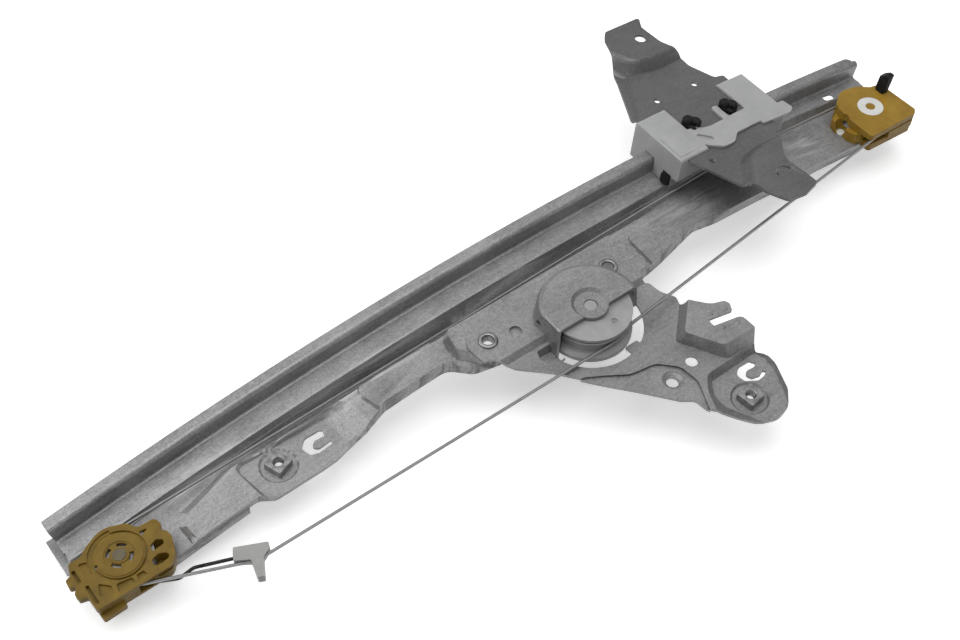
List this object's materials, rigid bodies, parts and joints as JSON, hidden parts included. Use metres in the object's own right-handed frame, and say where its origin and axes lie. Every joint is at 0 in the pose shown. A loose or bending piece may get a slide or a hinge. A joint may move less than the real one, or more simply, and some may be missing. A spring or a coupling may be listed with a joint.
{
  "type": "window regulator",
  "caption": "Single-rail cable window regulator: bowed steel guide rail, motor plate with domed drum, two pulleys and a carrier with a lift plate for the door glass.",
  "frame": {"origin": "on the drum's spindle axis, at the top face of the motor plate beside the drum", "axes": "+X along the guide rail towards its upper end, +Y across the rail towards the guide flange, +Z along the drum's axis towards the window glass"},
  "size_m": [0.4942, 0.2191, 0.061],
  "materials": {
    "pressed_steel": "rolled zinc-coated sheet steel",
    "plate_steel": "rolled zinc-coated sheet steel",
    "fastener_steel": "zinc plated",
    "cable_steel": "stranded wire, greased",
    "housing_nylon": "natural amber nylon",
    "white_nylon": "white acetal, fine matt",
    "drum_nylon": "greased off-white nylon",
    "black_plastic": "black nylon",
    "black_rubber": "black rubber",
    "spring_steel": "blackened spring wire"
  },
  "bodies": {
    "frame": {"guide_rail": "pressed_steel", "motor_plate": "plate_steel", "weld_nuts": "fastener_steel", "rail_rivets": "fastener_steel", "lower_pulley_housing": "housing_nylon", "lower_pulley_axle": "fastener_steel", "upper_pulley_housing": "housing_nylon", "upper_pulley_bush": "white_nylon", "upper_locating_pin": "white_nylon", "upper_stop_peg": "black_rubber", "upper_cable": "cable_steel", "lower_cable": "cable_steel", "tension_spring_wire": "spring_steel", "cable_guide_clip": "white_nylon"},
    "carrier": {"carrier_slider": "white_nylon", "lift_plate": "plate_steel", "upper_cable_clip": "black_plastic", "lower_cable_clip": "black_plastic", "slider_bumper": "black_rubber", "cable_nipples": "fastener_steel"},
    "drum": {"cable_drum": "drum_nylon", "drum_winding": "cable_steel", "drum_nipples": "fastener_steel"},
    "upper_wheel": {"upper_pulley": "white_nylon"},
    "lower_wheel": {"lower_pulley": "white_nylon"}
  },
  "joints": [
    {"name": "carrier_travel", "type": "hinge", "parent": "frame", "child": "carrier", "pos_m": [0.022, 0, -1.373], "axis": [0, 1, 0], "range_deg": [-11.4, 1.2]},
    {"name": "drum_spin", "type": "hinge", "parent": "frame", "child": "drum", "pos_m": [0, 0, 0], "axis": [0, 0, 1], "range_deg": [-95, 890]},
    {"name": "upper_pulley_spin", "type": "hinge", "parent": "frame", "child": "upper_wheel", "pos_m": [0.2172, 0.026, -0.0085], "axis": [0, 0, 1], "range_deg": [-130, 1180]},
    {"name": "lower_pulley_spin", "type": "hinge", "parent": "frame", "child": "lower_wheel", "pos_m": [-0.231, 0.0263, -0.0159], "axis": [0, 0, 1], "range_deg": [-130, 1180]}
  ],
  "couplings": [
    {"joint": "drum_spin", "follows": "carrier_travel", "ratio": -77.571},
    {"joint": "upper_pulley_spin", "follows": "carrier_travel", "ratio": -102.46},
    {"joint": "lower_pulley_spin", "follows": "carrier_travel", "ratio": -102.46}
  ]
}
